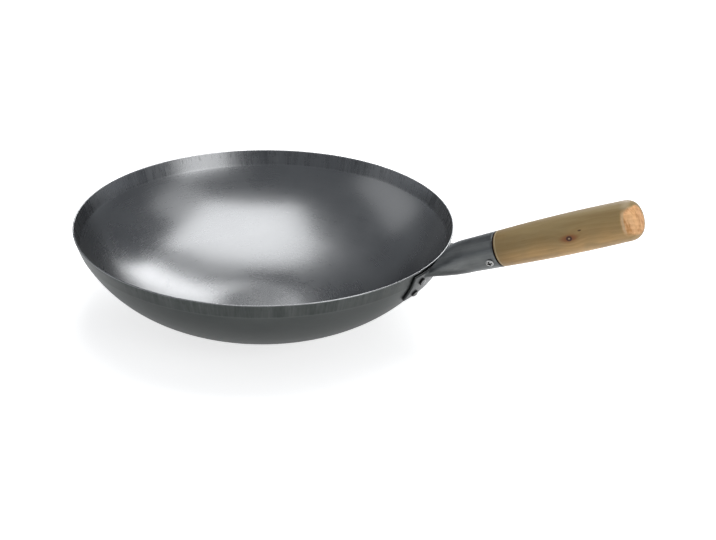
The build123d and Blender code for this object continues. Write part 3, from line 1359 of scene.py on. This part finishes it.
@dataclass
class Rivets:
    """Two columns of two rivets, square to the wall."""

    bowl: Bowl
    spacing: float = 0.054
    drops: tuple[float, float] = (0.0115, 0.024)
    shank_radius: float = 0.0023
    head_radius: float = 0.0036
    head_height: float = 0.0027
    inner_radius: float = 0.0040
    inner_height: float = 0.0013
    head_corner: float = 0.0003
    gap: float = 0.0002
    inner_gap: float = 0.00014
    seat: float = 0.0026
    grip: float = 0.0041
    foot_height: float = 0.0015
    segments: int = 48

    def _profile(self) -> list[Point]:
        """Section from the inner head's top to the outer head's top.

        Returns:
            Points of radius and height.
        """
        sphere = cap(self.inner_radius, self.inner_height - self.gap)
        points = []
        for i in range(8):
            radius = self.inner_radius * i / 7
            points.append((radius, -self.grip - self.inner_height + sag(sphere, radius)))
        inner_seat = -self.grip - self.inner_gap
        shoulder = self.gap + self.head_corner
        points += [(self.inner_radius, inner_seat), (self.shank_radius, inner_seat)]
        points += [(self.shank_radius, self.gap), (self.head_radius - self.head_corner, self.gap)]
        points += [(self.head_radius, shoulder)]
        for i in range(1, 10):
            turn = math.radians(90 * i / 10)
            rise = (self.head_height - shoulder) * math.sin(turn)
            points.append((self.head_radius * math.cos(turn), shoulder + rise))
        return points + [(0.0, self.head_height)]

    def place(self, drop: float, side: int) -> Matrix:
        """Frame of one rivet, with Z outward and its origin on the flange.

        Args:
            drop: Depth below the rim.
            side: 1 to the left, -1 to the right.

        Returns:
            The matrix.
        """
        height = self.bowl.depth - drop
        turn = side * math.asin(self.spacing / 2 / self.bowl.wall_point(height, 0)[0])
        radius, level = self.bowl.wall_point(height, self.seat)
        tilt = self.bowl.wall_tilt(height)
        out = Vector((math.cos(tilt) * math.cos(turn), math.cos(tilt) * math.sin(turn), -math.sin(tilt)))
        across = Vector((-math.sin(turn), math.cos(turn), 0))
        columns = Matrix((across, out.cross(across), out)).transposed().to_4x4()
        return Matrix.Translation((radius * math.cos(turn), radius * math.sin(turn), level)) @ columns

    def build(self, material: Material, foot_shade_material: Material) -> list[Object]:
        """Builds and dresses the rivets.

        Args:
            material: Their finish.
            foot_shade_material: Painted shade round the foot of each head.

        Returns:
            The four pieces.
        """
        pieces = []
        for row, drop in zip(("upper", "lower"), self.drops):
            for side_name, side in (("left", 1), ("right", -1)):
                frame = self.place(drop, side)
                mesh = turned(self._profile(), self.segments, frame)
                back = frame.inverted()
                # Faces at the foot of the head take painted shade
                for face in mesh.faces:
                    height = (back @ face.calc_center_median()).z
                    face.material_index = int(-self.gap < height < self.foot_height)
                name = f"rivet_{row}_{side_name}"
                piece = make_piece(f"{name}_turned", mesh, material, name, 50.0)
                piece.data.materials.append(foot_shade_material)
                pieces.append(piece)
        return pieces


@dataclass
class WoodenGrip:
    """Turned grip with its tenon in the socket."""

    line: HandleLine
    socket: HandleSocket
    length: float = 0.133
    swell_radius: float = 0.0179
    swell_share: float = 0.52
    end_radius: float = 0.0171
    end_round: float = 0.010
    end_crown: float = 0.002
    end_inset: float = 0.0001
    corner_level: float = 0.55
    crown_level: float = 0.16
    tenon_gap: float = 0.0002
    tenon_length: float = 0.029
    shoulder_gap: float = 0.0008
    shoulder_round: float = 0.0008
    segments: int = 96

    def _profile(self) -> list[Point]:
        """Section of the grip from the tenon's end to the far end.

        Returns:
            Points of radius and distance from the socket's mouth.
        """
        mouth, shoulder = self.socket.mouth_radius, self.shoulder_gap + self.shoulder_round
        bore = mouth - self.socket.wall - self.tenon_gap
        corner_inset = self.shoulder_round * CORNER_INSET
        points = [
            (0.0, -self.tenon_length),
            (bore - self.socket.taper * self.tenon_length, -self.tenon_length),
            (bore, 0.0),
            (bore, self.shoulder_gap),
            (mouth - self.shoulder_round, self.shoulder_gap),
            (mouth - corner_inset, self.shoulder_gap + corner_inset),
            (mouth, shoulder),
        ]
        start = Vector((shoulder, mouth))
        peak = Vector((self.swell_share * self.length, self.swell_radius))
        stop = Vector((self.length - self.end_crown, self.end_radius))
        corner_start = self.length - self.end_crown - self.end_round
        side = [self._through(start, peak, stop, i / 40) for i in range(1, 41)]
        points += [(radius, distance) for distance, radius in side if distance < corner_start]
        last = Vector((points[-1][0], corner_start))
        corner_end = self.length - self.end_crown * self.corner_level
        corner = Vector((self.end_radius - self.end_inset, corner_end))
        crown_start = self.length - self.end_crown * self.crown_level
        after = Vector((self.end_radius - self.end_round, crown_start))
        points += [tuple(softened(last, corner, after, i / 12)) for i in range(13)]
        for share in (0.66, 0.33, 0.0):
            points.append((after.x * share, self.length - self.end_crown * self.crown_level * share**2))
        return points

    @staticmethod
    def _through(start: Vector, peak: Vector, stop: Vector, share: float) -> Point:
        """Point of the parabola through three points.

        Args:
            start: First point, as distance and radius.
            peak: Middle point.
            stop: Last point.
            share: How far along, from 0 to 1.

        Returns:
            Distance and radius.
        """
        x = start.x + (stop.x - start.x) * share
        first = start.y * (x - peak.x) * (x - stop.x) / ((start.x - peak.x) * (start.x - stop.x))
        second = peak.y * (x - start.x) * (x - stop.x) / ((peak.x - start.x) * (peak.x - stop.x))
        third = stop.y * (x - start.x) * (x - peak.x) / ((stop.x - start.x) * (stop.x - peak.x))
        return x, first + second + third

    def build(self, material: Material) -> Object:
        """Builds and dresses the grip.

        Args:
            material: Its finish.

        Returns:
            The piece.
        """
        mesh = turned(self._profile(), self.segments, self.line.place(self.socket.length))
        return make_piece("grip_turned", mesh, material, "wooden_grip", 50.0)


@dataclass
class GripScrew:
    """Pan head screw with a cross recess, through the socket into the tenon."""

    line: HandleLine
    socket: HandleSocket
    setback: float = 0.007
    angle_below_side: float = math.radians(22.0)
    shank_radius: float = 0.0017
    shank_length: float = 0.011
    tip_length: float = 0.0025
    head_radius: float = 0.0036
    head_height: float = 0.0020
    head_edge: float = 0.0008
    head_corner: float = 0.0002
    gap: float = 0.00015
    recess_width: float = 0.0014
    recess_length: float = 0.0046
    recess_depth: float = 0.0011
    recess_narrowing: float = 0.82
    recess_zone: float = 0.6
    segments: int = 48

    def _place(self) -> Matrix:
        """Frame of the screw, with Z outward and its origin on the socket.

        Returns:
            The matrix.
        """
        sideways = Vector((0, -1, 0)) * math.cos(self.angle_below_side)
        out = sideways - self.line.up * math.sin(self.angle_below_side)
        seat = self.socket.mouth_radius - self.socket.taper * self.setback
        origin = self.line.start + self.line.axis * (self.socket.length - self.setback) + out * seat
        columns = Matrix((self.line.axis, out.cross(self.line.axis), out)).transposed().to_4x4()
        return Matrix.Translation(origin) @ columns

    def _profile(self) -> list[Point]:
        """Section of the screw from its tip to the head's top.

        Returns:
            Points of radius and height.
        """
        sphere = cap(self.head_radius, self.head_height - self.head_edge)
        points = [
            (0.0, -self.shank_length),
            (self.shank_radius, self.tip_length - self.shank_length),
            (self.shank_radius, self.gap),
            (self.head_radius - self.head_corner, self.gap),
            (self.head_radius, self.gap + self.head_corner),
        ]
        for i in range(7):
            radius = self.head_radius * (1 - i / 6)
            points.append((radius, self.head_height - sag(sphere, radius)))
        return points

    def _cut_recess(self, mesh: BMesh) -> None:
        """Sinks the cross into the head and marks its faces.

        Args:
            mesh: The screw's mesh in its own frame.
        """
        half_width, half_length = self.recess_width / 2, self.recess_length / 2
        for axis in (Vector((1, 0, 0)), Vector((0, 1, 0))):
            for distance in (-half_length, -half_width, half_width, half_length):
                crown = [face for face in mesh.faces if face.calc_center_median().z > self.head_edge]
                verts = {vert for face in crown for vert in face.verts}
                edges = {edge for face in crown for edge in face.edges}
                near = list(verts) + list(edges) + crown
                bmesh.ops.bisect_plane(mesh, geom=near, plane_co=axis * distance, plane_no=axis)
        cross = [face for face in mesh.faces if self._in_cross(face.calc_center_median())]
        sunk = bmesh.ops.extrude_face_region(mesh, geom=cross)
        bmesh.ops.delete(mesh, geom=cross, context="FACES")
        floor = self.head_height - self.recess_depth
        for item in sunk["geom"]:
            if isinstance(item, BMVert):
                item.co = Vector((*(item.co.xy * self.recess_narrowing), floor))
        # Faces sunk into the cross take painted shade
        for face in mesh.faces:
            middle = face.calc_center_median()
            sunken = self.gap < middle.z < self.head_height - self.recess_depth / 2
            face.material_index = int(sunken and middle.xy.length < self.recess_zone * self.head_radius)

    def build(self, material: Material, recess_shade_material: Material) -> Object:
        """Builds and dresses the screw.

        Args:
            material: Its finish.
            recess_shade_material: Painted shade for the cross recess.

        Returns:
            The piece.
        """
        mesh = turned(self._profile(), self.segments, Matrix.Identity(4))
        self._cut_recess(mesh)
        bmesh.ops.remove_doubles(mesh, verts=mesh.verts, dist=MERGE_DISTANCE)
        bmesh.ops.transform(mesh, matrix=self._place(), verts=mesh.verts)
        bmesh.ops.recalc_face_normals(mesh, faces=mesh.faces)
        screw = make_piece("grip_screw_pan_head", mesh, material, "grip_screw", 35.0)
        screw.data.materials.append(recess_shade_material)
        return screw

    def _in_cross(self, point: Vector) -> bool:
        """Whether a point of the head's top lies over the cross recess.

        Args:
            point: Point in the screw's frame.

        Returns:
            True over the recess.
        """
        wide, long = self.recess_width / 2, self.recess_length / 2
        across, other = abs(point.x), abs(point.y)
        inside = (across < wide and other < long) or (other < wide and across < long)
        return inside and point.z > self.head_edge


# Studio


@dataclass
class SoftBox:
    """One rectangular studio lamp."""

    name: str
    place: Place
    aim: Place
    size: tuple[float, float]
    power: float
    turn: float = 0.0

    def build(self) -> None:
        """Adds the lamp to the scene."""
        data = bpy.data.lights.new(self.name, "AREA")
        data.shape = "RECTANGLE"
        data.size, data.size_y = self.size
        data.energy = self.power
        lamp = bpy.data.objects.new(self.name, data)
        lamp.location = self.place
        facing = (Vector(self.aim) - Vector(self.place)).to_track_quat("-Z", "Y").to_matrix()
        lamp.rotation_euler = (Matrix.Rotation(self.turn, 3, "Z") @ facing).to_euler()
        lamp.visible_camera = False
        bpy.context.scene.collection.objects.link(lamp)


@dataclass
class Studio:
    """White studio: floor, world, lamps and the camera."""

    camera_place: Place = (0.66991, -1.19839, 0.70464)
    camera_right: Place = (0.898896, 0.437835, 0.016917)
    camera_up: Place = (-0.204696, 0.385487, 0.899722)
    camera_forward: Place = (-0.387409, 0.812219, -0.436136)
    lens: float = 80.45
    sensor_width: float = 36.0
    clip: Span = (0.05, 50.0)
    handle_turn: float = math.radians(25.5)
    floor_half_size: float = 6.0
    floor_color: Color = (0.8, 0.8, 0.8, 1)
    floor_seen: float = 0.70
    floor_mirrored: float = 0.35
    white: Color = (1, 1, 1, 1)
    fill_color: Color = (0.93, 0.98, 1.06, 1)
    fill_strength: float = 0.26
    horizon_fade: Span = (0.02, 0.16)

    def _turned(self, right: float, away: float, height: float) -> Place:
        """Place given along the picture's right, away from the camera, and up."""
        cosine, sine = math.cos(self.handle_turn), math.sin(self.handle_turn)
        return right * cosine - away * sine, right * sine + away * cosine, height

    def camera(self) -> None:
        """Adds the camera at the photograph's viewing angle."""
        data = bpy.data.cameras.new("camera")
        data.sensor_width = self.sensor_width
        data.lens = self.lens
        data.clip_start, data.clip_end = self.clip
        camera = bpy.data.objects.new("camera", data)
        columns = (Vector(self.camera_right), Vector(self.camera_up), -Vector(self.camera_forward))
        turn = Matrix(columns).transposed().to_4x4()
        camera.matrix_world = Matrix.Translation(self.camera_place) @ turn
        bpy.context.scene.collection.objects.link(camera)
        bpy.context.scene.camera = camera

    def floor(self) -> None:
        """Adds the white floor, which keeps the object's shadow."""
        mesh = bmesh.new()
        bmesh.ops.create_grid(mesh, x_segments=1, y_segments=1, size=self.floor_half_size)
        data = bpy.data.meshes.new("studio_floor")
        mesh.to_mesh(data)
        mesh.free()
        floor = bpy.data.objects.new("studio_floor", data)
        bpy.context.scene.collection.objects.link(floor)
        material, make, shader = new_material("studio_white")
        shader.inputs["Base Color"].default_value = self.floor_color
        shader.inputs["Roughness"].default_value = 0.9
        shader.inputs["Specular IOR Level"].default_value = 0.0
        paths = make.add("ShaderNodeLightPath")
        mirrored = make.math("MAXIMUM", paths.outputs["Is Glossy Ray"], paths.outputs["Is Transmission Ray"])
        seen = make.times(paths.outputs["Is Camera Ray"], self.floor_seen)
        shader.inputs["Emission Color"].default_value = self.white
        glow = make.plus(seen, make.times(mirrored, self.floor_mirrored))
        make.link(glow, shader.inputs["Emission Strength"])
        data.materials.append(material)

    def world(self) -> None:
        """Sets the world: white where it is seen, plain fill light elsewhere."""
        world = bpy.data.worlds.new("studio")
        bpy.context.scene.world = world
        world.use_nodes = True
        make = Nodes(world.node_tree)
        background = next(n for n in world.node_tree.nodes if n.type == "BACKGROUND")
        seen = make.add("ShaderNodeLightPath").outputs["Is Camera Ray"]
        height = make.split(make.add("ShaderNodeTexCoord").outputs["Generated"])[2]
        dim = make.remap(height, *self.horizon_fade, 1.0, self.fill_strength)
        make.link(make.mix(seen, self.fill_color, self.white), background.inputs["Color"])
        make.link(make.math("MAXIMUM", seen, dim), background.inputs["Strength"])

    def lamps(self) -> None:
        """Adds the soft boxes."""
        middle = self._turned(0.0, 0.0, 0.05)
        above = self._turned(0.18, 0.31, 0.0)
        top = self._turned(0.18, 0.31, 1.25)
        SoftBox("top_box", top, above, (1.00, 1.20), 11.9, self.handle_turn).build()
        for name, place, size, power in (
            ("back_box", (0.395, 1.844, 1.01), (0.86, 0.78), 11.3),
            ("front_box", (1.34, -1.34, 0.75), (1.18, 1.05), 11.6),
            ("left_box", (-1.90, 0.17, 1.02), (1.9, 0.95), 3.6),
            ("right_box", (1.26, -0.17, 1.46), (1.0, 0.70), 2.0),
        ):
            SoftBox(name, self._turned(*place), middle, size, power).build()

    def build(self) -> None:
        """Builds the whole studio."""
        self.floor()
        self.world()
        self.lamps()
        self.camera()
        bpy.context.scene.view_settings.view_transform = "Standard"


def main() -> None:
    """Builds the wok and its studio."""
    logging.basicConfig(level=logging.INFO, format="%(name)s: %(message)s")
    effects = SharedEffects()
    bowl = Bowl()
    line = HandleLine(bowl)
    socket = HandleSocket(bowl, line)
    grip = WoodenGrip(line, socket)
    levels = {"crease_height": bowl.crease[1], "rim_height": bowl.depth}
    # The outer steel is painted far darker than the inner steel: painted shade for the shadowed floor that
    # the outer face mirrors
    outside = SpunSteelFinish(
        effects, "shaded_outer_steel", (0.064, 0.071, 0.069, 1), (0.126, 0.134, 0.130, 1),
        roughness=0.38, ring_tone=0.40, **levels,
    )
    inside = SpunSteelFinish(
        effects, "inner_steel", (0.209, 0.213, 0.218, 1), (0.285, 0.289, 0.294, 1),
        roughness=0.275, ring_tone=0.25, **levels,
    )
    bowl.build(outside.build(), inside.build())
    rise_degrees = math.degrees(line.rise)
    # The flange, below the rim, takes the socket finish's painted shade
    socket_steel = DrawnSteelFinish(
        effects, "drawn_socket_steel", (0.122, 0.128, 0.128, 1), (0.200, 0.208, 0.206, 1),
        roughness=0.34, rise_degrees=rise_degrees, painted_shade_level=bowl.depth - 0.004,
    )
    socket.build(socket_steel.build())
    mouth = tuple(line.start + line.axis * socket.length)
    wood = TurnedWoodFinish(mouth, rise_degrees, grip.length, grip.swell_radius, grip.shoulder_gap)
    grip.build(wood.build())
    rivet_steel = DrawnSteelFinish(
        effects, "rivet_steel", (0.20, 0.203, 0.203, 1), (0.38, 0.385, 0.380, 1),
        roughness=0.18, stretch=1.0, fine=600.0, coarse=200.0,
    )
    plated = DrawnSteelFinish(
        effects, "plated_screw_steel", (0.36, 0.36, 0.355, 1), (0.60, 0.60, 0.585, 1),
        roughness=0.11, stretch=1.0, fine=900.0, coarse=300.0,
    )
    # Near-black steel: painted shade in the screw's cross recess and round the rivets' feet
    recess = DrawnSteelFinish(
        effects, "painted_shade_steel", (0.020, 0.020, 0.019, 1), (0.060, 0.058, 0.055, 1),
        roughness=0.45, stretch=1.0, fine=900.0, coarse=300.0,
    )
    painted_shade_finish = recess.build()
    Rivets(bowl).build(rivet_steel.build(), painted_shade_finish)
    GripScrew(line, socket).build(plated.build(), painted_shade_finish)
    Studio().build()


if __name__ == "__main__":
    main()
